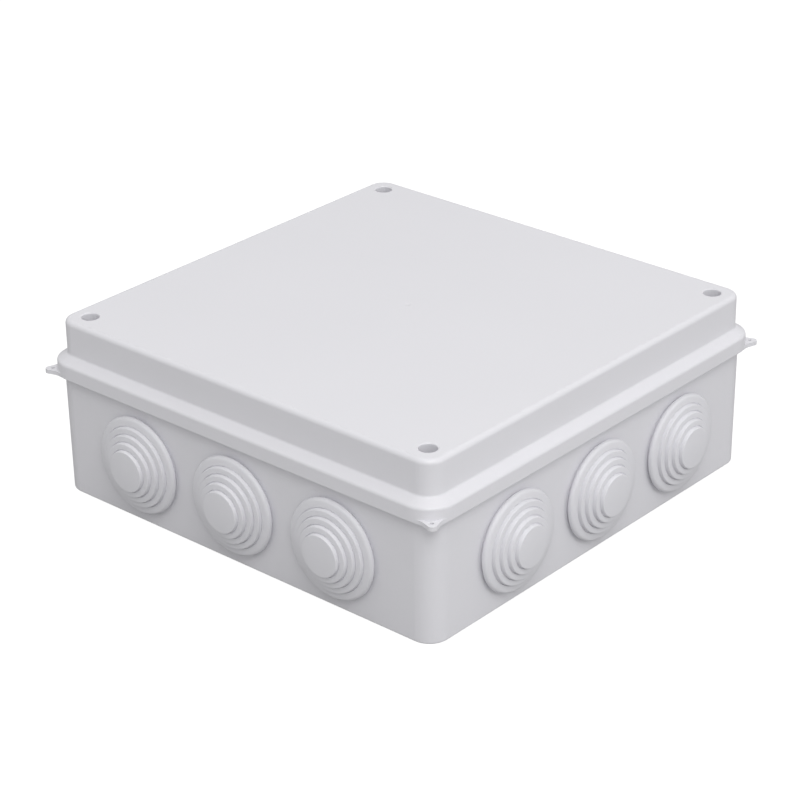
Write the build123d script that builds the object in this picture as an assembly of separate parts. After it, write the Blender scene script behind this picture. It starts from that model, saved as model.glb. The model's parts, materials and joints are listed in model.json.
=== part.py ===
from build123d import *
import math
import os

# Square moulded junction box in millimetres.
# The origin is the middle of the underside, +Z points up through the lid,
# the front is the -Y side and the right is the +X side.

# Base shell
BASE_SIDE = 198.4          # face to face at the foot
BASE_HEIGHT = 56.0         # underside to rim
BASE_CORNER = 9.0          # outer corner radius at the rim
BASE_WALL = 2.6
BASE_FLOOR = 2.6
WALL_FLARE = 0.4           # each wall leans out by this much from foot to rim
FOOT_ROUND = 0.8
FLOOR_COVE = 1.5           # inner round where the walls meet the floor

# Lid shell
SKIRT_OVERLAP = 3.7        # the skirt hangs this far below the base's rim
SKIRT_WALL = 2.3
SKIRT_EDGE_ROUND = 0.4
LEDGE_COVER = 1.2          # from the gasket groove's top up to the ledge's outer edge
LEDGE_WIDTH = 4.4          # sloping ledge between the skirt and the crown
LEDGE_RISE = 2.8
LEDGE_ROUND = 1.5
CROWN_HEIGHT = 14.6
CROWN_WALL = 2.4
CROWN_TOP = 2.6
CROWN_ROUND = 2.0
CROWN_COVE = 1.0
TONGUE_DEPTH = 3.0         # the tongue reaches this far below the base's rim
TONGUE_WALL = 1.2
TONGUE_BACKING = 2.0       # thickness of the lid over the gasket groove

# Lid gasket
GASKET_THICKNESS = 1.4
GASKET_SIDE_GAP = 0.15

# Corner ears of the skirt
EAR_REACH = 5.0            # beyond the skirt's corner
EAR_ROOT_WIDTH = 11.6
EAR_THICKNESS = 1.7
EAR_TIP_RADIUS = 1.9
EAR_HOLE_RADIUS = 0.75
EAR_HOLE_INSET = 3.0       # from the ear's tip to its hole
EAR_TIP_ANGLE = 68.0       # where each side runs into the tip's arc, in degrees

# Lid screws, their washers and the wells they sit in
SCREW_INSET = 10.8         # base rim's outer face to the screw's axis
SCREW_RADIUS = 1.75
SCREW_LENGTH = 16.0
SCREW_TIP_CHAMFER = 0.8
HEAD_RADIUS = 3.3
HEAD_HEIGHT = 2.4
HEAD_ROUND = 1.2
RECESS_LENGTH = 3.6
RECESS_WIDTH = 0.9
RECESS_DEPTH = 1.4
WASHER_THICKNESS = 1.0
WELL_WALL = 1.8
WELL_SEAT = 2.8
WELL_MOUTH_ROUND = 0.5
COLUMN_WEB = 1.6

# Corner pillars of the base
PILLAR_RADIUS = 5.2
PILLAR_DROP = 1.4          # from the base's rim down to the pillar's top
PILLAR_BORE_SPARE = 6.0    # bore left free below the screw's tip
PILLAR_WEB = 1.8

# Cable entries and grommets
ENTRY_INSET = 47.6         # base rim's outer face to the axis of the entry at each end
ENTRY_RADIUS = 18.5
ENTRIES_PER_SIDE = 3
GROMMET_FLANGE_WIDTH = 2.4 # the flange stands out from the neck by this much
GROMMET_FLANGE_HEIGHT = 3.0
GROMMET_FLANGE_ROUND = 1.2
GROMMET_LIP_WIDTH = 1.4    # the inner lip stands out from the neck by this much
GROMMET_LIP_HEIGHT = 2.8
GROMMET_SKIN = 1.3
STEP_COUNT = 4
STEP_INSET = 1.5           # neck to the foot of the outermost step
STEP_WIDTH = 2.75
STEP_RISER = 0.95
STEP_ROUND = 0.33
STEP_TREAD_RISE = 0.55     # each tread climbs towards the middle
STEP_RISER_LEAN = 0.12
FLANGE_TREAD_RISE = 1.4

# Floor fixings
FIXING_INSET = 21.6        # base rim's outer face to the hole's axis
FIXING_HOLE_RADIUS = 2.6
FIXING_COLLAR_WALL = 2.6
FIXING_COLLAR_HEIGHT = 3.0
BOSS_INSET = 44.6
BOSS_RADIUS = 4.0
BOSS_HEIGHT = 7.0
BOSS_BORE_RADIUS = 1.4
BOSS_BORE_DEPTH = 6.0
FLOOR_RIB_WIDTH = 1.6
FLOOR_RIB_HEIGHT = 2.0

# Clearances
SKIRT_GAP = 0.6            # base wall to skirt
TONGUE_GAP = 0.3           # base wall to tongue
PILLAR_GAP = 0.3           # pillar to the column above it
WEB_GAP = 0.5              # pillar web to the tongue above it
SCREW_HOLE_GAP = 0.25      # screw to its hole in the lid
SCREW_BORE_GAP = 0.05      # screw to the pillar's bore
HEAD_GAP = 0.3             # head to the wall of its well
WASHER_BORE_GAP = 0.1
GROMMET_WALL_GAP = 0.05    # each face of the groove to the wall
GROMMET_NECK_GAP = 0.1
OVERCUT = 1.0              # a cutting tool runs past the face it opens

# Half widths, outermost last
RIM_HALF = BASE_SIDE / 2 + WALL_FLARE
CORNER_CENTRE = RIM_HALF - BASE_CORNER
BASE_INNER = RIM_HALF - BASE_WALL
TONGUE_OUTER = BASE_INNER - TONGUE_GAP
TONGUE_INNER = TONGUE_OUTER - TONGUE_WALL
SKIRT_INNER = RIM_HALF + SKIRT_GAP
SKIRT_OUTER = SKIRT_INNER + SKIRT_WALL
CROWN_OUTER = SKIRT_OUTER - LEDGE_WIDTH
CROWN_INNER = CROWN_OUTER - CROWN_WALL

# Levels above the underside
SKIRT_FOOT = BASE_HEIGHT - SKIRT_OVERLAP
ENTRY_HEIGHT = SKIRT_FOOT / 2
GROOVE_TOP = BASE_HEIGHT + GASKET_THICKNESS
LEDGE_EDGE = GROOVE_TOP + LEDGE_COVER
CROWN_FOOT = LEDGE_EDGE + LEDGE_RISE
LID_TOP = CROWN_FOOT + CROWN_HEIGHT
TONGUE_FOOT = BASE_HEIGHT - TONGUE_DEPTH
PILLAR_TOP = BASE_HEIGHT - PILLAR_DROP
COLUMN_FOOT = PILLAR_TOP + PILLAR_GAP
SEAT_TOP = COLUMN_FOOT + WELL_SEAT
HEAD_SEAT = SEAT_TOP + WASHER_THICKNESS
SCREW_TIP = HEAD_SEAT - SCREW_LENGTH

WELL_RADIUS = HEAD_RADIUS + HEAD_GAP
COLUMN_RADIUS = WELL_RADIUS + WELL_WALL
SKIRT_CORNER = SKIRT_OUTER - CORNER_CENTRE
GROMMET_NECK = ENTRY_RADIUS - GROMMET_NECK_GAP

# Distance of each pattern's axes from the middle
SCREW_OFFSET = RIM_HALF - SCREW_INSET
FIXING_OFFSET = RIM_HALF - FIXING_INSET
ENTRY_OFFSET = RIM_HALF - ENTRY_INSET
BOSS_OFFSET = RIM_HALF - BOSS_INSET

SIDES = {"right": 0, "back": 90, "left": 180, "front": 270}
CORNERS = {"back_right": 0, "back_left": 90, "front_left": 180, "front_right": 270}


def outline(*corners):
    """A closed flat face through (x, y, round) corners, each with its own rounding."""
    face = make_face(Polyline(*[(x, y) for x, y, size in corners], close=True))
    for x, y, size in corners:
        if size:
            face = fillet(face.vertices().sort_by_distance((x, y))[0], size)
    return face


def turned(face):
    """A solid of revolution about Z from a face drawn as (radius, height)."""
    return revolve(Plane.XZ * face, Axis.Z)


def ring(section):
    """Carry a wall section, drawn outward from the corner centres, round the four sides and corners."""
    upright = Plane.XZ * section
    run = extrude(upright, CORNER_CENTRE, both=True)
    pivot = Axis((CORNER_CENTRE, CORNER_CENTRE, 0), (0, 0, 1))
    corner = revolve(Pos(0, CORNER_CENTRE, 0) * upright, pivot, 90)
    quarter = run + corner
    return Part() + [Rot(0, 0, turn) * quarter for turn in CORNERS.values()]


def shell(section, bottom, top):
    """A ring closed by a flat plate that spans the corner centres between two levels."""
    plate = Box(2 * CORNER_CENTRE, 2 * CORNER_CENTRE, top - bottom)
    return ring(section) + Pos(0, 0, (bottom + top) / 2) * plate


def wall_face(height):
    """Half width of the base's outer face at a height."""
    return BASE_SIDE / 2 + WALL_FLARE * height / BASE_HEIGHT


def corner_places(offset):
    """The four places of a square pattern at an offset from the middle, each turned with its corner."""
    return [Rot(0, 0, turn) * Pos(offset, offset, 0) for turn in CORNERS.values()]


def entry_places():
    """Name and frame of each cable entry; the frame's Z points out through the wall."""
    lean = math.degrees(math.atan(WALL_FLARE / BASE_HEIGHT))
    places = {}
    for side, turn in SIDES.items():
        for index in range(ENTRIES_PER_SIDE):
            along = ENTRY_OFFSET * (2 * index / (ENTRIES_PER_SIDE - 1) - 1)
            spot = Pos(wall_face(ENTRY_HEIGHT), along, ENTRY_HEIGHT)
            places[f"{side}_{index + 1}"] = Rot(0, 0, turn) * spot * Rot(0, 90 + lean, 0)
    return places


def upright_tube(radius, bottom, top):
    """A cylinder about Z between two levels."""
    return Pos(0, 0, (bottom + top) / 2) * Cylinder(radius, top - bottom)


def corner_webs(thickness, reach, bottom, top):
    """Two webs from a corner post to the walls beyond it, in the post's own frame."""
    middle = (bottom + top) / 2
    along_x = Pos(reach / 2, 0, middle) * Box(reach, thickness, top - bottom)
    along_y = Pos(0, reach / 2, middle) * Box(thickness, reach, top - bottom)
    return along_x + along_y


def make_base():
    """Open box with entry holes, screw pillars, wall-fixing holes and plate bosses."""
    section = outline(
        (CORNER_CENTRE, 0, 0),
        (BASE_SIDE / 2, 0, FOOT_ROUND),
        (RIM_HALF, BASE_HEIGHT, 0),
        (BASE_INNER, BASE_HEIGHT, 0),
        (wall_face(BASE_FLOOR) - BASE_WALL, BASE_FLOOR, FLOOR_COVE),
        (CORNER_CENTRE, BASE_FLOOR, 0),
    )
    base = shell(section, 0, BASE_FLOOR)
    root = BASE_FLOOR / 2

    reach = wall_face(BASE_FLOOR) - BASE_WALL / 2 - SCREW_OFFSET
    pillar = upright_tube(PILLAR_RADIUS, root, PILLAR_TOP)
    pillar += corner_webs(PILLAR_WEB, reach, root, TONGUE_FOOT - WEB_GAP)
    bore = upright_tube(SCREW_RADIUS + SCREW_BORE_GAP, SCREW_TIP - PILLAR_BORE_SPARE, PILLAR_TOP + OVERCUT)
    base += [place * (pillar - bore) for place in corner_places(SCREW_OFFSET)]

    collar_top = BASE_FLOOR + FIXING_COLLAR_HEIGHT
    collar = upright_tube(FIXING_HOLE_RADIUS + FIXING_COLLAR_WALL, root, collar_top)
    fixing_hole = upright_tube(FIXING_HOLE_RADIUS, -OVERCUT, collar_top + OVERCUT)
    base += [place * collar for place in corner_places(FIXING_OFFSET)]
    base -= [place * fixing_hole for place in corner_places(FIXING_OFFSET)]

    boss_top = BASE_FLOOR + BOSS_HEIGHT
    rib_height = BASE_FLOOR + FLOOR_RIB_HEIGHT - root
    rib = Pos(0, BOSS_OFFSET, root + rib_height / 2) * Box(2 * BOSS_OFFSET, FLOOR_RIB_WIDTH, rib_height)
    base += [Rot(0, 0, turn) * rib for turn in CORNERS.values()]
    boss = upright_tube(BOSS_RADIUS, root, boss_top)
    boss_bore = upright_tube(BOSS_BORE_RADIUS, boss_top - BOSS_BORE_DEPTH, boss_top + OVERCUT)
    base += [place * boss for place in corner_places(BOSS_OFFSET)]
    base -= [place * boss_bore for place in corner_places(BOSS_OFFSET)]

    entry = Cylinder(ENTRY_RADIUS, 2 * (BASE_WALL + OVERCUT))
    base -= [place * entry for place in entry_places().values()]
    return base


def make_ear():
    """One ear in the frame of a skirt corner: its plate points along +X from the corner's centre."""
    side_angle = math.asin(EAR_ROOT_WIDTH / 2 / SKIRT_CORNER)
    tip_angle = math.radians(EAR_TIP_ANGLE)
    tip_centre = SKIRT_CORNER + EAR_REACH - EAR_TIP_RADIUS
    root = (SKIRT_CORNER * math.cos(side_angle), EAR_ROOT_WIDTH / 2)
    root_run = (math.sin(side_angle), -math.cos(side_angle))
    tip = (tip_centre + EAR_TIP_RADIUS * math.cos(tip_angle), EAR_TIP_RADIUS * math.sin(tip_angle))
    tip_run = (math.sin(tip_angle), -math.cos(tip_angle))
    flank = Spline(root, tip, tangents=(root_run, tip_run))
    nose = ThreePointArc(tip, (tip_centre + EAR_TIP_RADIUS, 0), (tip[0], -tip[1]))
    buried = SKIRT_CORNER - SKIRT_WALL / 2
    back = Polyline(
        (root[0], -root[1]),
        (buried * math.cos(side_angle), -buried * math.sin(side_angle)),
        (buried, 0),
        (buried * math.cos(side_angle), buried * math.sin(side_angle)),
        root,
    )
    plate = make_face([flank, nose, mirror(flank, Plane.XZ), back])
    hole = Pos(SKIRT_CORNER + EAR_REACH - EAR_HOLE_INSET, 0) * Circle(EAR_HOLE_RADIUS)
    return Pos(0, 0, SKIRT_FOOT) * extrude(plate - hole, EAR_THICKNESS)


def make_lid():
    """Deep cover with skirt, gasket groove, tongue, four screw wells and four ears."""
    ceiling = LID_TOP - CROWN_TOP
    backing = GROOVE_TOP + TONGUE_BACKING
    section = outline(
        (CORNER_CENTRE, LID_TOP, 0),
        (CROWN_OUTER, LID_TOP, CROWN_ROUND),
        (CROWN_OUTER, CROWN_FOOT, CROWN_COVE),
        (SKIRT_OUTER, LEDGE_EDGE, LEDGE_ROUND),
        (SKIRT_OUTER, SKIRT_FOOT, SKIRT_EDGE_ROUND),
        (SKIRT_INNER, SKIRT_FOOT, 0),
        (SKIRT_INNER, GROOVE_TOP, 0),
        (TONGUE_OUTER, GROOVE_TOP, 0),
        (TONGUE_OUTER, TONGUE_FOOT, 0),
        (TONGUE_INNER, TONGUE_FOOT, 0),
        (TONGUE_INNER, backing, 0),
        (CROWN_INNER, backing, 0),
        (CROWN_INNER, ceiling, 0),
        (CORNER_CENTRE, ceiling, 0),
    )
    lid = shell(section, ceiling, LID_TOP)

    root = LID_TOP - CROWN_TOP / 2
    reach = CROWN_INNER + CROWN_WALL / 2 - SCREW_OFFSET
    column = upright_tube(COLUMN_RADIUS, COLUMN_FOOT, root)
    column += corner_webs(COLUMN_WEB, reach, backing, root)
    screw_hole = SCREW_RADIUS + SCREW_HOLE_GAP
    mouth_edge = WELL_RADIUS + 2 * WELL_MOUTH_ROUND
    well = turned(outline(
        (0, COLUMN_FOOT - OVERCUT, 0),
        (screw_hole, COLUMN_FOOT - OVERCUT, 0),
        (screw_hole, SEAT_TOP, 0),
        (WELL_RADIUS, SEAT_TOP, 0),
        (WELL_RADIUS, LID_TOP, WELL_MOUTH_ROUND),
        (mouth_edge, LID_TOP, 0),
        (mouth_edge, LID_TOP + OVERCUT, 0),
        (0, LID_TOP + OVERCUT, 0),
    ))
    lid += [place * column for place in corner_places(SCREW_OFFSET)]
    lid -= [place * well for place in corner_places(SCREW_OFFSET)]

    to_corner = Pos(CORNER_CENTRE, CORNER_CENTRE, 0) * Rot(0, 0, 45)
    lid += [Rot(0, 0, turn) * to_corner * make_ear() for turn in CORNERS.values()]
    return lid


def make_gasket():
    """Flat ring that fills the lid's groove and bears on the base's rim."""
    inner = TONGUE_OUTER + GASKET_SIDE_GAP
    outer = SKIRT_INNER - GASKET_SIDE_GAP
    section = outline(
        (inner, BASE_HEIGHT, 0), (outer, BASE_HEIGHT, 0), (outer, GROOVE_TOP, 0), (inner, GROOVE_TOP, 0)
    )
    return ring(section)


def make_grommet():
    """Hollow stepped plug in its entry's frame: radius out from the axis, height out from the wall."""
    groove_in = -BASE_WALL - GROMMET_WALL_GAP
    lip_end = groove_in - GROMMET_LIP_HEIGHT
    flange = GROMMET_NECK + GROMMET_FLANGE_WIDTH
    plug = [
        (flange, GROMMET_FLANGE_HEIGHT, GROMMET_FLANGE_ROUND),
        (flange, GROMMET_WALL_GAP, 0),
        (GROMMET_NECK, GROMMET_WALL_GAP, 0),
        (GROMMET_NECK, groove_in, 0),
        (GROMMET_NECK + GROMMET_LIP_WIDTH, groove_in, 0),
        (GROMMET_NECK, lip_end, 0),
    ]

    # Steps from the flange in to the closed disc, and the hollow that follows them a skin below
    radius = GROMMET_NECK - STEP_INSET
    tread = GROMMET_FLANGE_HEIGHT + FLANGE_TREAD_RISE
    steps = []
    hollow = [(radius - GROMMET_SKIN, lip_end, 0)]
    for index in range(STEP_COUNT):
        top = tread + STEP_RISER
        steps += [(radius + STEP_RISER_LEAN, tread, 0), (radius, top, STEP_ROUND)]
        hollow += [(radius - GROMMET_SKIN, top - GROMMET_SKIN, 0)]
        if index < STEP_COUNT - 1:
            radius -= STEP_WIDTH
            tread = top + STEP_TREAD_RISE
            hollow += [(radius - GROMMET_SKIN, top - GROMMET_SKIN, 0)]
    hollow += [(0, top - GROMMET_SKIN, 0)]
    steps += [(0, top, 0)]
    return turned(outline(*reversed(plug), *steps, *reversed(hollow)))


def make_washer():
    """Sealing washer on the well's seat, about the screw's axis."""
    ring = upright_tube(HEAD_RADIUS, SEAT_TOP, HEAD_SEAT)
    return ring - upright_tube(SCREW_RADIUS + WASHER_BORE_GAP, SEAT_TOP - OVERCUT, HEAD_SEAT + OVERCUT)


def make_screw():
    """Pan head screw with a cross recess, about its own axis."""
    head_top = HEAD_SEAT + HEAD_HEIGHT
    screw = turned(outline(
        (0, SCREW_TIP, 0),
        (SCREW_RADIUS - SCREW_TIP_CHAMFER, SCREW_TIP, 0),
        (SCREW_RADIUS, SCREW_TIP + SCREW_TIP_CHAMFER, 0),
        (SCREW_RADIUS, HEAD_SEAT, 0),
        (HEAD_RADIUS, HEAD_SEAT, 0),
        (HEAD_RADIUS, head_top, HEAD_ROUND),
        (0, head_top, 0),
    ))
    slot = Pos(0, 0, head_top) * Box(RECESS_LENGTH, RECESS_WIDTH, 2 * RECESS_DEPTH)
    return screw - slot - Rot(0, 0, 90) * slot


def save(shape, name):
    """Write one named piece."""
    export_step(shape, f"parts/{name}.step")


def main():
    """Make every piece in its place and write each one."""
    os.makedirs("parts", exist_ok=True)
    save(make_base(), "base")
    save(make_lid(), "lid")
    save(make_gasket(), "lid_gasket")

    grommet = make_grommet()
    for name, place in entry_places().items():
        save(place * grommet, f"grommet_{name}")

    screw = make_screw()
    washer = make_washer()
    for (name, turn), place in zip(CORNERS.items(), corner_places(SCREW_OFFSET)):
        save(place * screw, f"lid_screw_{name}")
        save(place * washer, f"screw_washer_{name}")


main()
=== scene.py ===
import json
import logging
import math
from collections.abc import Mapping
from dataclasses import dataclass
from enum import Enum

import bmesh
import bpy
import numpy as np
from mathutils import Matrix, Vector


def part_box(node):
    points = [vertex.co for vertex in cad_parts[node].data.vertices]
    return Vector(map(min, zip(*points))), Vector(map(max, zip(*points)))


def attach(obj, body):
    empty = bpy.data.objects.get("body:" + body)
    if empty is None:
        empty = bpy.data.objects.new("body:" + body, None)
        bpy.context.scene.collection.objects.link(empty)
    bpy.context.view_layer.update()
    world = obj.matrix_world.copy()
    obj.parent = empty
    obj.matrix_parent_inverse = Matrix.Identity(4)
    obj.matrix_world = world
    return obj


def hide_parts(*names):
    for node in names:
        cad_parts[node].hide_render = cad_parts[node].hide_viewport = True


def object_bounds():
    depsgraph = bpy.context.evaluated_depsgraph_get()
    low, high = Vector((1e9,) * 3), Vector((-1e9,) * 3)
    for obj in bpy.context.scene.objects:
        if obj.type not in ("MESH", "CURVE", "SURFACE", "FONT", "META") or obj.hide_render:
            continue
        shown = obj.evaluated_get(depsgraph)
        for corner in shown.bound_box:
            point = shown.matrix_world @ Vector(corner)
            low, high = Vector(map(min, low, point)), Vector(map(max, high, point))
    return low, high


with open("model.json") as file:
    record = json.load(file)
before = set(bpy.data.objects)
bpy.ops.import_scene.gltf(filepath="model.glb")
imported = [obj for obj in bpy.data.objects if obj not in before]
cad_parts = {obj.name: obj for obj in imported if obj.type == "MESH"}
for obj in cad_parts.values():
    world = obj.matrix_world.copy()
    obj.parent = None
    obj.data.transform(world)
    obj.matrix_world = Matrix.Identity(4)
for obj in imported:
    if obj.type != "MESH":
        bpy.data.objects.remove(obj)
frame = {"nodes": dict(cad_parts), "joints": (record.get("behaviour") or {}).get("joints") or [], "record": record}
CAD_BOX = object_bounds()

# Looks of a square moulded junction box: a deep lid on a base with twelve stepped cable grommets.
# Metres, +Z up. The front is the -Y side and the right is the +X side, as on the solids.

LOG = logging.getLogger("junction_box")
MM = 0.001
CENTIMETRE = 0.01
WELD_DISTANCE = 1e-7
SHARP_ANGLE = math.radians(32)
TINY = 1e-6
FULL_TURN = 2 * math.pi
MIX_FIRST_COLOUR, MIX_SECOND_COLOUR, MIX_COLOUR_RESULT = 6, 7, 2    # sockets of a Mix node set to colour

Colour = tuple[float, float, float, float]
WHITE: Colour = (1.0, 1.0, 1.0, 1.0)
PALE_GREY: Colour = (0.765, 0.760, 0.793, 1.0)
GROMMET_GREY: Colour = (0.755, 0.752, 0.785, 1.0)
FOAM_BLACK: Colour = (0.07, 0.07, 0.075, 1.0)
RUBBER_BLACK: Colour = (0.02, 0.02, 0.02, 1.0)
ZINC_BRIGHT: Colour = (0.72, 0.73, 0.75, 1.0)
ZINC_DULL: Colour = (0.55, 0.56, 0.58, 1.0)
MATT_RUBBER = 0.6                          # the washers' roughness
GATE_OFF_MIDDLE = (1.3 * MM, 1.2 * MM)     # the gate mark's place on the lid, from the middle


class Corner(Enum):
    """The four corners, counted round from the back right, each with the signs of its X and Y."""

    BACK_RIGHT = (1, 1)
    BACK_LEFT = (-1, 1)
    FRONT_LEFT = (-1, -1)
    FRONT_RIGHT = (1, -1)

    @property
    def label(self) -> str:
        """The corner's name as the bodies and nodes have it."""
        return self.name.lower()


class Slot(Enum):
    """The record's material slots."""

    BASE = "moulded_base"
    LID = "moulded_lid"
    GROMMET = "soft_grommet"
    FOAM = "sealing_foam"
    STEEL = "zinc_steel"
    WASHER = "washer_rubber"


@dataclass(frozen=True)
class Bend:
    """One corner of a drawn outline: how far out, how high, and the radius of its rounding."""

    out: float
    up: float
    round: float = 0.0


def drawn(bends: list[Bend], closed: bool, arc_steps: int = 5) -> np.ndarray:
    """Draws a line through bends whose corners are rounded.

    An arc of radius r in a corner with half angle h starts and ends r / tan(h) from the corner, and its
    centre lies r / sin(h) along the bisector. Its points are the spherical blend of both end directions.

    Args:
        bends: The corners in order.
        closed: Whether the line returns to its start.
        arc_steps: How many pieces each arc is cut into.

    Returns:
        The points as rows of (out, up).
    """
    places = np.array([(bend.out, bend.up) for bend in bends])
    pieces = []
    for index, bend in enumerate(bends):
        here = places[index]
        if bend.round == 0 or (not closed and index in (0, len(bends) - 1)):
            pieces.append(here[None])
            continue
        back = places[index - 1] - here
        ahead = places[(index + 1) % len(bends)] - here
        back /= np.linalg.norm(back)
        ahead /= np.linalg.norm(ahead)
        half = math.acos(float(np.clip(back @ ahead, -1, 1))) / 2
        bisector = (back + ahead) / np.linalg.norm(back + ahead)
        centre = here + bisector * bend.round / math.sin(half)
        first = here + back * bend.round / math.tan(half) - centre
        last = here + ahead * bend.round / math.tan(half) - centre
        sweep = math.pi - 2 * half
        share = np.linspace(0, 1, arc_steps + 1)[:, None]
        blend = (np.sin((1 - share) * sweep) * first + np.sin(share * sweep) * last) / math.sin(sweep)
        pieces.append(centre + blend)
    return np.concatenate(pieces)


@dataclass
class Surface:
    """Points and four-sided faces, as whole arrays."""

    points: np.ndarray
    quads: np.ndarray

    @classmethod
    def grid(cls, points: np.ndarray, wrap_rows: bool, wrap_columns: bool) -> "Surface":
        """Joins a grid of points into faces.

        The face at (i, j) has the corners (i, j), (i, j + 1), (i + 1, j + 1) and (i + 1, j), counted
        round where the grid wraps.

        Args:
            points: An array of rows by columns by 3.
            wrap_rows: Whether the last row joins the first.
            wrap_columns: Whether the last column joins the first.

        Returns:
            The surface.
        """
        rows, columns = points.shape[:2]
        i = np.arange(rows if wrap_rows else rows - 1)[:, None]
        j = np.arange(columns if wrap_columns else columns - 1)[None, :]
        below, beside = (i + 1) % rows, (j + 1) % columns
        corners = [i * columns + j, i * columns + beside, below * columns + beside, below * columns + j]
        return cls(points.reshape(-1, 3), np.stack(corners, axis=-1).reshape(-1, 4))

    @classmethod
    def turned(cls, outline: np.ndarray, segments: int, closed: bool) -> "Surface":
        """Turns a drawn outline about Z: the point (r, h) at angle a goes to (r cos a, r sin a, h).

        Args:
            outline: Rows of (radius, height).
            segments: How many steps a full turn has.
            closed: Whether the outline returns to its start; otherwise it ends on the axis.

        Returns:
            The surface.
        """
        angle = np.arange(segments) * FULL_TURN / segments
        radius, height = outline[:, 0, None], outline[:, 1, None]
        points = np.stack([radius * np.cos(angle), radius * np.sin(angle), height + 0 * angle], axis=-1)
        return cls.grid(points, wrap_rows=closed, wrap_columns=True)

    @classmethod
    def carried(cls, outline: np.ndarray, centre: float, arc_steps: int) -> "Surface":
        """Carries a section round a square with rounded corners.

        A point d out from a corner's centre (c, c) lies at (c + d cos a, c + d sin a) while a runs
        through that corner's quarter turn. The straight sides join the last point of one corner to the
        first of the next.

        Args:
            outline: Rows of (out from the corner's centre, height), a closed section.
            centre: The offset c of the corner centres.
            arc_steps: How many steps each quarter turn has.

        Returns:
            The surface.
        """
        quarter = np.linspace(0, math.pi / 2, arc_steps + 1)
        angle = (np.arange(4)[:, None] * math.pi / 2 + quarter).ravel()
        signs = np.array([corner.value for corner in Corner])
        pivot = np.repeat(signs, arc_steps + 1, axis=0) * centre
        out, up = outline[:, 0, None], outline[:, 1, None]
        x = pivot[:, 0] + out * np.cos(angle)
        y = pivot[:, 1] + out * np.sin(angle)
        return cls.grid(np.stack([x, y, up + 0 * angle], axis=-1), wrap_rows=True, wrap_columns=True)

    def placed(self, place: Matrix) -> "Surface":
        """Moves every point by a 4 by 4 matrix."""
        matrix = np.array(place)
        return Surface(self.points @ matrix[:3, :3].T + matrix[:3, 3], self.quads)

    def __add__(self, other: "Surface") -> "Surface":
        """Two surfaces as one."""
        points = np.concatenate([self.points, other.points])
        return Surface(points, np.concatenate([self.quads, other.quads + len(self.points)]))


@dataclass(frozen=True)
class Piece:
    """What a finished piece is called, what it rides on and what it stands for."""

    name: str
    body: str
    slot: Slot
    stands_for: str

    def made(self, surface: Surface, material: bpy.types.Material) -> bpy.types.Object:
        """Makes the piece from a closed surface.

        Doubled points at seams and poles are merged, and the normals are turned outwards.

        Args:
            surface: The piece's surface in its place.
            material: What it is finished in.

        Returns:
            The object, at the origin, riding on its body.
        """
        mesh = bpy.data.meshes.new(self.name)
        mesh.from_pydata(surface.points.tolist(), [], surface.quads.tolist())
        work = bmesh.new()
        work.from_mesh(mesh)
        bmesh.ops.remove_doubles(work, verts=work.verts, dist=WELD_DISTANCE)
        bmesh.ops.recalc_face_normals(work, faces=work.faces)
        work.to_mesh(mesh)
        work.free()
        mesh.polygons.foreach_set("use_smooth", np.ones(len(mesh.polygons), dtype=bool))
        mesh.set_sharp_from_angle(angle=SHARP_ANGLE)
        mesh.materials.append(material)
        thing = bpy.data.objects.new(self.name, mesh)
        bpy.context.scene.collection.objects.link(thing)
        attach(thing, self.body)
        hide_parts(self.stands_for)
        LOG.info("%s: %d faces, on %s, for %s", self.name, len(mesh.polygons), self.body, self.stands_for)
        return thing


class Amount:
    """A number that a shader works out. Arithmetic on it adds the Math nodes that it takes."""

    def __init__(self, shader: "Shader", socket: bpy.types.NodeSocket) -> None:
        """Wraps one output socket."""
        self.shader = shader
        self.socket = socket

    def _with(self, operation: str, first: "Amount | float", second: "Amount | float") -> "Amount":
        """Adds one Math node on two terms."""
        node = self.shader.add("ShaderNodeMath", {"operation": operation}, {0: first, 1: second})
        return Amount(self.shader, node.outputs["Value"])

    def __add__(self, other: "Amount | float") -> "Amount":
        """self + other"""
        return self._with("ADD", self, other)

    def __radd__(self, other: float) -> "Amount":
        """other + self"""
        return self._with("ADD", other, self)

    def __sub__(self, other: "Amount | float") -> "Amount":
        """self - other"""
        return self._with("SUBTRACT", self, other)

    def __rsub__(self, other: float) -> "Amount":
        """other - self"""
        return self._with("SUBTRACT", other, self)

    def __mul__(self, other: "Amount | float") -> "Amount":
        """self * other"""
        return self._with("MULTIPLY", self, other)

    def __rmul__(self, other: float) -> "Amount":
        """other * self"""
        return self._with("MULTIPLY", other, self)

    def rising(self, low: float, high: float) -> "Amount":
        """0 below low, 1 above high, with a smooth step between."""
        settings = {"interpolation_type": "SMOOTHSTEP"}
        inputs = {"Value": self, "From Min": low, "From Max": high}
        node = self.shader.add("ShaderNodeMapRange", settings, inputs)
        return Amount(self.shader, node.outputs["Result"])


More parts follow.
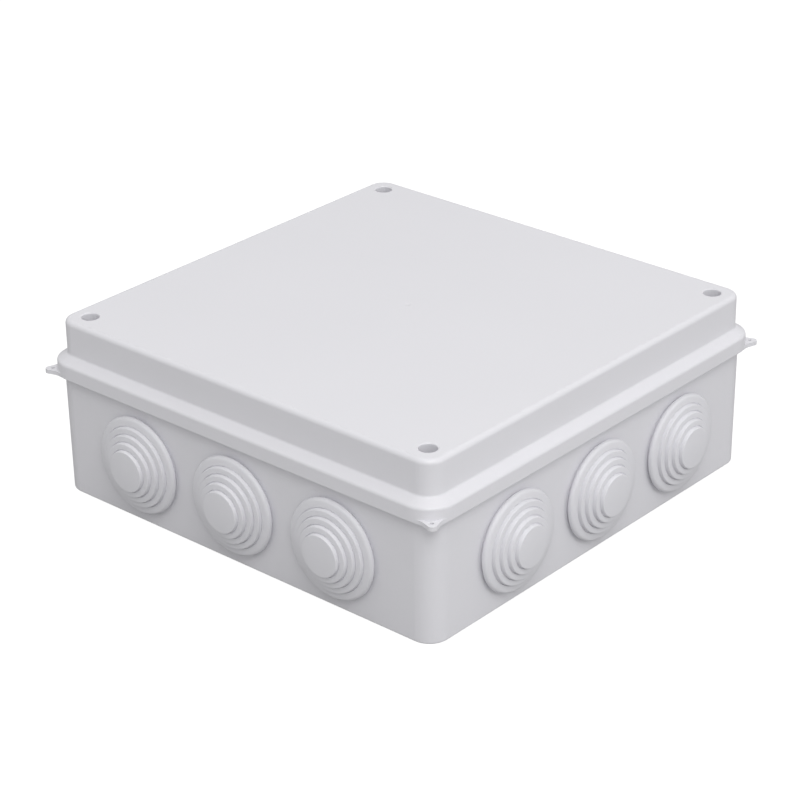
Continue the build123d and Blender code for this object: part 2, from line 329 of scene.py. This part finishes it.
class Shader:
    """The nodes of one material, over a Principled surface."""

    def __init__(self, name: str) -> None:
        """Starts an empty material."""
        self.material = bpy.data.materials.new(name)
        self.material.use_nodes = True
        self.tree = self.material.node_tree
        self.tree.nodes.clear()
        self.place = self.add("ShaderNodeTexCoord").outputs["Object"]

    def add(
        self, kind: str, settings: Mapping | None = None, inputs: Mapping | None = None
    ) -> bpy.types.Node:
        """Adds a node.

        Args:
            kind: The node's type.
            settings: Its own settings, such as a Math node's operation, set before its sockets.
            inputs: What its sockets hold or are fed by, by socket name or number.

        Returns:
            The node.
        """
        node = self.tree.nodes.new(kind)
        for name, value in (settings or {}).items():
            setattr(node, name, value)
        for name, value in (inputs or {}).items():
            feed = value.socket if isinstance(value, Amount) else value
            if isinstance(feed, bpy.types.NodeSocket):
                self.tree.links.new(feed, node.inputs[name])
            else:
                node.inputs[name].default_value = feed
        return node

    def noise(self, size: float, detail: float = 2.0) -> Amount:
        """Even noise from 0 to 1.

        Args:
            size: The width of one blotch, in metres.
            detail: How many finer layers lie on it.

        Returns:
            The noise.
        """
        inputs = {"Vector": self.place, "Scale": 1 / size, "Detail": detail}
        return Amount(self, self.add("ShaderNodeTexNoise", inputs=inputs).outputs[0])

    def cells(self, size: float) -> Amount:
        """Distance from the nearest of scattered points, 0 at each, in units of size."""
        inputs = {"Vector": self.place, "Scale": 1 / size}
        return Amount(self, self.add("ShaderNodeTexVoronoi", inputs=inputs).outputs["Distance"])

    def distance(self, centre: Vector) -> Amount:
        """The distance from a point, in metres."""
        node = self.add("ShaderNodeVectorMath", {"operation": "DISTANCE"}, {0: self.place, 1: centre})
        return Amount(self, node.outputs["Value"])

    def between(self, share: Amount, low: Colour, high: Colour) -> bpy.types.NodeSocket:
        """The colour that lies a share of the way from low to high."""
        node = self.add("ShaderNodeMix", {"data_type": "RGBA"})
        self.tree.links.new(share.socket, node.inputs["Factor"])
        node.inputs[MIX_FIRST_COLOUR].default_value = low
        node.inputs[MIX_SECOND_COLOUR].default_value = high
        return node.outputs[MIX_COLOUR_RESULT]

    def bump(
        self, height: Amount, distance: float, under: bpy.types.NodeSocket | None = None
    ) -> bpy.types.NodeSocket:
        """A normal bent by a height.

        Args:
            height: The height, from 0 to 1.
            distance: What a height of 1 measures, in metres.
            under: A normal that this one is laid over.

        Returns:
            The normal.
        """
        inputs = {"Height": height, "Distance": distance, "Strength": 1.0}
        if under is not None:
            inputs["Normal"] = under
        return self.add("ShaderNodeBump", inputs=inputs).outputs["Normal"]

    def surface(self, varying: Mapping, constant: Mapping) -> bpy.types.Material:
        """Closes the material with a Principled surface.

        Args:
            varying: Sockets that are fed by what changes over the surface.
            constant: Sockets that hold one value.

        Returns:
            The material.
        """
        principled = self.add("ShaderNodeBsdfPrincipled", inputs={**constant, **varying})
        self.add("ShaderNodeOutputMaterial", inputs={"Surface": principled.outputs["BSDF"]})
        return self.material


def tinted(colour: Colour, factor: float) -> Colour:
    """The colour with its three parts times a factor."""
    return (*(part * factor for part in colour[:3]), 1.0)


@dataclass(frozen=True)
class MouldedPlastic:
    """Satin moulded plastic, with the faint cloudiness, polish marks and sink of a large moulding.

    Where a gate is given, the shallow dimple that a moulding's gate leaves lies round that point.
    """

    name: str
    colour: Colour
    cloud: float = 0.012
    cloud_size: float = 60 * MM
    speck_size: float = 1.1 * MM
    speck: float = 0.010
    roughness: float = 0.34
    polish: float = 0.07
    polish_size: float = 14 * MM
    grain_size: float = 0.35 * MM
    grain_height: float = 0.0022 * MM
    sink_size: float = 45 * MM
    sink_height: float = 0.06 * MM
    gate: Vector | None = None
    gate_radius: float = 1.7 * MM
    gate_depth: float = 0.12 * MM

    def material(self) -> bpy.types.Material:
        """Builds the material."""
        shader = Shader(self.name)
        cloud = shader.noise(self.cloud_size) * self.cloud + shader.noise(self.speck_size) * self.speck
        spread = self.cloud + self.speck
        colour = shader.between(
            cloud * (1 / spread), tinted(self.colour, 1 - spread), tinted(self.colour, 1 + spread)
        )
        roughness = self.roughness + (shader.noise(self.polish_size, detail=4) - 0.5) * (2 * self.polish)
        sink = shader.bump(shader.noise(self.sink_size, detail=0), self.sink_height)
        normal = shader.bump(shader.noise(self.grain_size, detail=1), self.grain_height, under=sink)
        if self.gate is not None:
            dimple = shader.distance(self.gate).rising(self.gate_radius / 2, self.gate_radius)
            normal = shader.bump(dimple, self.gate_depth, under=normal)
        varying = {"Base Color": colour, "Roughness": roughness, "Normal": normal}
        return shader.surface(varying, {"IOR": 1.5})


@dataclass(frozen=True)
class SoftElastomer:
    """Soft rubber-like moulding with a dry skin."""

    name: str
    colour: Colour
    cloud: float = 0.02
    cloud_size: float = 9 * MM
    roughness: float = 0.42
    polish: float = 0.08
    polish_size: float = 3 * MM
    grain_size: float = 0.22 * MM
    grain_height: float = 0.003 * MM

    def material(self) -> bpy.types.Material:
        """Builds the material."""
        shader = Shader(self.name)
        low, high = tinted(self.colour, 1 - self.cloud), tinted(self.colour, 1 + self.cloud)
        colour = shader.between(shader.noise(self.cloud_size, detail=3), low, high)
        roughness = self.roughness + (shader.noise(self.polish_size, detail=3) - 0.5) * (2 * self.polish)
        grain = shader.bump(shader.noise(self.grain_size, detail=1), self.grain_height)
        varying = {"Base Color": colour, "Roughness": roughness, "Normal": grain}
        return shader.surface(varying, {"IOR": 1.5})


@dataclass(frozen=True)
class ClosedCellFoam:
    """Matt sealing foam with skinned-over cells, its colour painted darker towards each cell's middle, where the
    bump sinks it: painted shade in the pits.
    """

    name: str
    colour: Colour
    cell_size: float = 0.7 * MM
    cell_depth: float = 0.12 * MM
    # Painted shade: how much darker the colour is at the bottom of each cell's pit, and lighter towards its rim
    shade: float = 0.25
    roughness: float = 0.85

    def material(self) -> bpy.types.Material:
        """Builds the material."""
        shader = Shader(self.name)
        cells = shader.cells(self.cell_size)
        # The colour follows the cells' bump and is darker in each pit: painted shade, not the foam's own tone
        low, high = tinted(self.colour, 1 - self.shade), tinted(self.colour, 1 + self.shade)
        colour = shader.between(cells, low, high)
        varying = {"Base Color": colour, "Normal": shader.bump(cells, self.cell_depth)}
        return shader.surface(varying, {"Roughness": self.roughness})


@dataclass(frozen=True)
class PlatedSteel:
    """Bright zinc plate, cloudy and finely pitted."""

    name: str
    bright: Colour
    dull: Colour
    cloud_size: float = 1.6 * MM
    cloud_edges: tuple[float, float] = (0.3, 0.7)
    roughness: float = 0.28
    polish: float = 0.12
    pit_size: float = 0.18 * MM
    pit_depth: float = 0.008 * MM

    def material(self) -> bpy.types.Material:
        """Builds the material."""
        shader = Shader(self.name)
        cloud = shader.noise(self.cloud_size, detail=4)
        roughness = self.roughness + (cloud - 0.5) * (2 * self.polish)
        varying = {
            "Base Color": shader.between(cloud.rising(*self.cloud_edges), self.dull, self.bright),
            "Roughness": roughness,
            "Normal": shader.bump(shader.noise(self.pit_size), self.pit_depth),
        }
        return shader.surface(varying, {"Metallic": 1.0})


@dataclass(frozen=True)
class CarriedShell:
    """A moulded shell that keeps its solid's own shape and gets its finish."""

    node: str
    finish: MouldedPlastic

    def dressed(self) -> bpy.types.Object:
        """Gives the solid its finish."""
        shell = frame["nodes"][self.node]
        material = self.finish.material()
        for place in shell.material_slots:
            place.material = material
        LOG.info("%s: carried over, finished in %s", self.node, material.name)
        return shell


@dataclass(frozen=True)
class Entries:
    """The cable entries of the base's walls, from the record's mounts."""

    wall_flare: float = 0.4 * MM
    protrusion: float = 9.85 * MM

    def places(self) -> dict[str, Matrix]:
        """The frame of each entry.

        Z points out through the wall, square to its lean, and the origin lies on the wall's face.

        Returns:
            A place for each entry's name, such as right_1.
        """
        lean = math.atan(self.wall_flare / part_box("base")[1].z)
        found = {}
        for mount in frame["record"]["mounts"]:
            if not mount["name"].startswith("cable_entry_"):
                continue
            outward = Vector(mount["axis"])
            turn = Matrix.Rotation(math.atan2(outward.y, outward.x), 4, "Z")
            tilt = Matrix.Rotation(math.pi / 2 + lean, 4, "Y")
            disc = Matrix.Translation(Vector(mount["pos_m"]))
            found[mount["name"].removeprefix("cable_entry_")] = (
                disc @ turn @ tilt @ Matrix.Translation((0, 0, -self.protrusion))
            )
        return found


@dataclass(frozen=True)
class SteppedGrommet:
    """A soft plug in a cable entry, stepped so that it can be cut to the size of its cable."""

    neck: float = 18.4 * MM
    flange_width: float = 2.4 * MM
    flange_height: float = 3.1 * MM
    flange_round: float = 1.4 * MM
    undercut_height: float = 1.6 * MM
    undercut_depth: float = 1.4 * MM
    wall_gap: float = 0.05 * MM
    wall: float = 2.6 * MM
    lip_width: float = 1.4 * MM
    lip_height: float = 2.8 * MM
    lip_round: float = 0.3 * MM
    skin: float = 0.85 * MM
    steps: int = 4
    step_inset: float = 1.5 * MM
    step_width: float = 2.75 * MM
    riser: float = 1.4 * MM
    riser_lean: float = 0.22 * MM
    tread_rise: float = 0.1 * MM
    flange_rise: float = 0.4 * MM
    edge_round: float = 0.4 * MM
    crease_depth: float = 0.45 * MM
    crease_width: float = 0.3 * MM
    crease_round: float = 0.06 * MM
    tread_round: float = 0.15 * MM
    segments: int = 128

    def outline(self) -> np.ndarray:
        """The outer face from the middle out, the neck and lip, and the hollow back to the middle."""
        radius = self.neck - self.step_inset - (self.steps - 1) * self.step_width
        top = self.flange_height + self.flange_rise + self.steps * self.riser
        top += (self.steps - 1) * self.tread_rise
        ceiling = top - self.skin
        outer = [Bend(0, top)]
        hollow = [Bend(0, ceiling)]
        for index in range(self.steps):
            foot = top - self.riser
            outer += [
                Bend(radius, top, self.edge_round),
                Bend(radius + self.riser_lean, foot - self.crease_depth, self.crease_round),
                Bend(radius + self.riser_lean + self.crease_width, foot, self.tread_round),
            ]
            hollow += [Bend(radius - self.skin, top - self.skin)]
            radius += self.step_width
            top = foot - self.tread_rise
            if index < self.steps - 1:
                hollow += [Bend(radius - self.step_width - self.skin, top - self.skin)]
        groove = -self.wall - self.wall_gap
        end = groove - self.lip_height
        outer += [
            Bend(self.neck + self.flange_width, self.flange_height, self.flange_round),
            Bend(self.neck + self.flange_width, self.undercut_height, self.tread_round),
            Bend(self.neck + self.flange_width - self.undercut_depth, self.wall_gap),
            Bend(self.neck, self.wall_gap),
            Bend(self.neck, groove),
            Bend(self.neck + self.lip_width, groove, self.lip_round),
            Bend(self.neck, end, self.lip_round),
            Bend(self.neck - self.step_inset - self.skin, end),
        ]
        return drawn(outer + hollow[::-1], closed=False)

    def build(self, name: str, place: Matrix, material: bpy.types.Material) -> bpy.types.Object:
        """Makes the grommet of one entry."""
        surface = Surface.turned(self.outline(), self.segments, closed=False).placed(place)
        piece = Piece(f"stepped_grommet_{name}", "base", Slot.GROMMET, f"grommet_{name}")
        return piece.made(surface, material)


@dataclass(frozen=True)
class LidScrew:
    """A pan head screw with a cross recess and a coarse thread."""

    radius: float = 1.75 * MM
    root: float = 1.28 * MM
    pitch: float = 1.3 * MM
    length: float = 16.0 * MM
    tip_chamfer: float = 0.8 * MM
    plain_length: float = 3.0 * MM
    ridge_slope: float = 1.35
    ridge_floor: float = 0.2
    head_radius: float = 3.3 * MM
    head_height: float = 2.4 * MM
    head_round: float = 1.2 * MM
    head_rim_round: float = 0.15 * MM
    head_flat: float = 0.7
    recess_reach: float = 1.8 * MM
    recess_half_width: float = 0.45 * MM
    recess_depth: float = 1.4 * MM
    recess_taper: float = 0.8
    segments: int = 96
    rows_per_pitch: int = 12

    def thread(self) -> Surface:
        """The shank, from the tip's middle up to the head's underside.

        At height z above the tip and angle a, the radius is the root plus a ridge. The ridge is a
        triangle wave of z / pitch - a / turn, made steeper by its slope, lowered to its floor and cut
        at 0 and 1. It fades out into the plain shank below the head, and the whole is cut by the tip's
        chamfer, a cone.
        """
        rows = int(self.length / self.pitch * self.rows_per_pitch)
        height = np.linspace(0, self.length, rows + 1)[:, None]
        angle = (np.arange(self.segments) * FULL_TURN / self.segments)[None, :]
        wave = np.abs((height / self.pitch - angle / FULL_TURN) % 1 - 0.5) * 2
        ridge = np.clip(self.ridge_slope * wave - self.ridge_floor, 0, 1)
        plain = np.clip((height - (self.length - self.plain_length)) / self.pitch, 0, 1)
        radius = self.root + (self.radius - self.root) * np.maximum(ridge, plain)
        radius = np.minimum(radius, self.radius - self.tip_chamfer + height)
        points = np.stack([radius * np.cos(angle), radius * np.sin(angle), height + 0 * angle], axis=-1)
        tip = np.zeros((1, self.segments, 3))
        return Surface.grid(np.concatenate([tip, points]), wrap_rows=False, wrap_columns=True)

    def head(self) -> Surface:
        """The head, from the shank's top round its dome into the recess.

        Every ring is a radius for each angle. On the dome it is a circle. The recess is a cross whose
        edge lies at the lesser of reach / cos(b) and half width / sin(b), where b is the angle from the
        nearest arm, and its floor is the same cross drawn in by the taper.
        """
        angle = np.arange(self.segments) * FULL_TURN / self.segments
        off_arm = np.abs((angle + math.pi / 4) % (math.pi / 2) - math.pi / 4)
        across = self.recess_half_width / np.maximum(np.sin(off_arm), TINY)
        cross = np.minimum(self.recess_reach / np.cos(off_arm), across)
        dome = drawn([
            Bend(self.radius, 0), Bend(self.head_radius, 0, self.head_rim_round),
            Bend(self.head_radius, self.head_height, self.head_round),
            Bend(self.head_flat * self.head_radius, self.head_height),
        ], closed=False, arc_steps=8)
        rings = [np.full(self.segments, ring) for ring in dome[:, 0]]
        rings += [cross, cross * self.recess_taper, 0 * cross]
        floor = self.head_height - self.recess_depth
        heights = [*dome[:, 1], self.head_height, floor, floor]
        radius, height = np.array(rings), np.array(heights)[:, None]
        points = np.stack([radius * np.cos(angle), radius * np.sin(angle), height + 0 * angle], axis=-1)
        return Surface.grid(points, wrap_rows=False, wrap_columns=True)

    def build(self, corner: Corner, seat: Vector, material: bpy.types.Material) -> bpy.types.Object:
        """Makes the screw of one corner, its head's underside on the seat."""
        to_tip = Matrix.Translation(seat) @ Matrix.Translation((0, 0, -self.length))
        surface = self.thread().placed(to_tip) + self.head().placed(Matrix.Translation(seat))
        name = corner.label
        piece = Piece(f"pan_screw_{name}", f"screw_{name}", Slot.STEEL, f"lid_screw_{name}")
        return piece.made(surface, material)


@dataclass(frozen=True)
class SealWasher:
    """A rubber washer under the head of each screw."""

    radius: float = 3.3 * MM
    bore: float = 1.85 * MM
    thickness: float = 1.0 * MM
    edge_round: float = 0.25 * MM
    segments: int = 64

    def build(self, corner: Corner, seat: Vector, material: bpy.types.Material) -> bpy.types.Object:
        """Makes the washer of one corner, its top against the seat."""
        outline = drawn([
            Bend(self.bore, -self.thickness, self.edge_round),
            Bend(self.radius, -self.thickness, self.edge_round),
            Bend(self.radius, 0, self.edge_round),
            Bend(self.bore, 0, self.edge_round),
        ], closed=True)
        surface = Surface.turned(outline, self.segments, closed=True).placed(Matrix.Translation(seat))
        name = corner.label
        piece = Piece(f"seal_washer_{name}", f"washer_{name}", Slot.WASHER, f"screw_washer_{name}")
        return piece.made(surface, material)


@dataclass(frozen=True)
class LidSeal:
    """The foam ring in the lid's groove."""

    corner_centre: float = 90.6 * MM
    edge_round: float = 0.4 * MM
    arc_steps: int = 16

    def build(self, material: bpy.types.Material) -> bpy.types.Object:
        """Makes the ring in the solid gasket's box, which gives its outer side and its height."""
        low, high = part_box("lid_gasket")
        outer = high.x - self.corner_centre
        inner = outer - self.width(high.x)
        outline = drawn([
            Bend(inner, low.z, self.edge_round), Bend(outer, low.z, self.edge_round),
            Bend(outer, high.z, self.edge_round), Bend(inner, high.z, self.edge_round),
        ], closed=True)
        surface = Surface.carried(outline, self.corner_centre, self.arc_steps)
        return Piece("foam_seal", "lid", Slot.FOAM, "lid_gasket").made(surface, material)

    def width(self, outer: float) -> float:
        """The ring's width: how far in from its outer side the solid's right side reaches."""
        points = np.array([vertex.co for vertex in frame["nodes"]["lid_gasket"].data.vertices])
        across = points[(points[:, 0] > 0) & (np.abs(points[:, 1]) <= self.corner_centre)]
        return outer - float(across[:, 0].min())


@dataclass(frozen=True)
class Lamp:
    """One soft studio lamp."""

    name: str
    place: tuple[float, float, float]
    aim: tuple[float, float, float]
    side: float
    watts: float

    def hang(self) -> None:
        """Hangs the lamp, turned to what it aims at."""
        light = bpy.data.lights.new(self.name, "AREA")
        light.shape = "SQUARE"
        light.size = self.side
        light.energy = self.watts
        lamp = bpy.data.objects.new(self.name, light)
        lamp.location = self.place
        lamp.rotation_euler = (Vector(self.aim) - Vector(self.place)).to_track_quat("-Z", "Y").to_euler()
        bpy.context.scene.collection.objects.link(lamp)


@dataclass(frozen=True)
class Studio:
    """A pale floor that shows white, a plain sky and three soft lamps."""

    floor_side: float = 12.0
    floor_grey: float = 0.45
    floor_shown: float = 0.90
    floor_shade: float = 0.22
    sky: float = 0.60
    sky_shown: float = 1.0
    lamps: tuple[Lamp, ...] = (
        Lamp("overhead", place=(0.1, 0.1, 2.0), aim=(0, 0, 0), side=1.4, watts=5.0),
        Lamp("front_key", place=(1.09, -0.885, 1.601), aim=(0, 0, 0.04), side=1.0, watts=15.4),
        Lamp("right_key", place=(1.881, 0.504, 0.827), aim=(0, 0, 0.04), side=1.0, watts=5.0),
    )

    def floor_material(self) -> bpy.types.Material:
        """Plain grey to the object's light, and near white, with the object's shadow, to the camera."""
        shader = Shader("studio_floor")
        shown = self.seen(shader)
        plain = shader.add("ShaderNodeBsdfDiffuse", inputs={"Color": tinted(WHITE, self.floor_grey)})
        shade = shader.add("ShaderNodeBsdfDiffuse", inputs={"Color": tinted(WHITE, self.floor_shade)})
        glow = shader.add("ShaderNodeEmission", inputs={"Strength": self.floor_shown})
        bright = shader.add("ShaderNodeAddShader", inputs={0: glow.outputs[0], 1: shade.outputs[0]})
        inputs = {0: shown, 1: plain.outputs[0], 2: bright.outputs[0]}
        mixed = shader.add("ShaderNodeMixShader", inputs=inputs)
        shader.add("ShaderNodeOutputMaterial", inputs={"Surface": mixed.outputs[0]})
        return shader.material

    @staticmethod
    def seen(shader: Shader) -> Amount:
        """1 for rays that come straight from the camera."""
        return Amount(shader, shader.add("ShaderNodeLightPath").outputs["Is Camera Ray"])

    def build(self) -> None:
        """Lays the floor, sets the sky and hangs the lamps."""
        half = self.floor_side / 2
        corners = np.array([[(-half, -half, 0), (-half, half, 0)], [(half, -half, 0), (half, half, 0)]])
        sheet = Surface.grid(corners, wrap_rows=False, wrap_columns=False)
        mesh = bpy.data.meshes.new("studio_floor")
        mesh.from_pydata(sheet.points.tolist(), [], sheet.quads[:, ::-1].tolist())
        mesh.materials.append(self.floor_material())
        floor = bpy.data.objects.new("studio_floor", mesh)
        bpy.context.scene.collection.objects.link(floor)
        self.set_sky()
        for lamp in self.lamps:
            lamp.hang()
        LOG.info("studio: floor, sky and %d lamps", len(self.lamps))

    def set_sky(self) -> None:
        """A plain white sky, full white where it is seen."""
        world = bpy.data.worlds.new("studio_sky")
        world.use_nodes = True
        bpy.context.scene.world = world
        tree = world.node_tree
        path = tree.nodes.new("ShaderNodeLightPath")
        strength = tree.nodes.new("ShaderNodeMapRange")
        strength.inputs["To Min"].default_value = self.sky
        strength.inputs["To Max"].default_value = self.sky_shown
        tree.links.new(path.outputs["Is Camera Ray"], strength.inputs["Value"])
        background = tree.nodes["Background"]
        background.inputs["Color"].default_value = WHITE
        tree.links.new(strength.outputs["Result"], background.inputs["Strength"])


@dataclass(frozen=True)
class PhotoCamera:
    """The camera at the photograph's angle."""

    place: tuple[float, float, float] = (0.62098, -0.70863, 0.50079)
    azimuth: float = 41.340
    elevation: float = 26.400
    roll: float = -0.700
    focal_pixels: float = 2563.3
    frame_pixels: float = 800.0
    sensor: float = 36.0

    def build(self) -> None:
        """Sets the camera up.

        It looks against the direction back = (sin a cos e, -cos a cos e, sin e), with its right and up
        turned about that by the roll.
        """
        a, e, roll = (math.radians(angle) for angle in (self.azimuth, self.elevation, self.roll))
        back = Vector((math.sin(a) * math.cos(e), -math.cos(a) * math.cos(e), math.sin(e)))
        right = Vector((math.cos(a), math.sin(a), 0))
        up = back.cross(right)
        rolled = right * math.cos(roll) + up * math.sin(roll)
        raised = up * math.cos(roll) - right * math.sin(roll)
        turn = Matrix((rolled, raised, back)).transposed().to_4x4()
        camera = bpy.data.cameras.new("photo_camera")
        camera.sensor_width = self.sensor
        camera.lens = self.focal_pixels / self.frame_pixels * self.sensor
        camera.clip_start = CENTIMETRE
        thing = bpy.data.objects.new("photo_camera", camera)
        thing.matrix_world = Matrix.Translation(Vector(self.place)) @ turn
        bpy.context.scene.collection.objects.link(thing)
        bpy.context.scene.camera = thing
        LOG.info("camera: %.1f mm lens", camera.lens)


def screw_seats() -> dict[Corner, Vector]:
    """Where the underside of each screw's head sits, from the joints that turn the screws."""
    anchors = {joint["name"]: joint.get("pos_m") for joint in frame["joints"]}
    return {corner: Vector(anchors[f"screw_turn_{corner.label}"]) for corner in Corner}


def main() -> None:
    """Builds every piece, the studio and the camera."""
    logging.basicConfig(level=logging.INFO, format="%(message)s")
    bpy.context.scene.view_settings.view_transform = "Standard"
    PhotoCamera().build()
    Studio().build()

    CarriedShell("base", MouldedPlastic("base_plastic", PALE_GREY)).dressed()
    gate = Vector((*GATE_OFF_MIDDLE, CAD_BOX[1].z))
    CarriedShell("lid", MouldedPlastic("lid_plastic", PALE_GREY, gate=gate)).dressed()

    elastomer = SoftElastomer("grommet_elastomer", GROMMET_GREY).material()
    grommet = SteppedGrommet()
    for name, place in Entries().places().items():
        grommet.build(name, place, elastomer)

    LidSeal().build(ClosedCellFoam("seal_foam", FOAM_BLACK).material())
    steel = PlatedSteel("zinc_plate", ZINC_BRIGHT, ZINC_DULL).material()
    rubber = SoftElastomer("washer_rubber", RUBBER_BLACK, roughness=MATT_RUBBER).material()
    for corner, seat in screw_seats().items():
        LidScrew().build(corner, seat, steel)
        SealWasher().build(corner, seat, rubber)


if __name__ == "__main__":
    main()
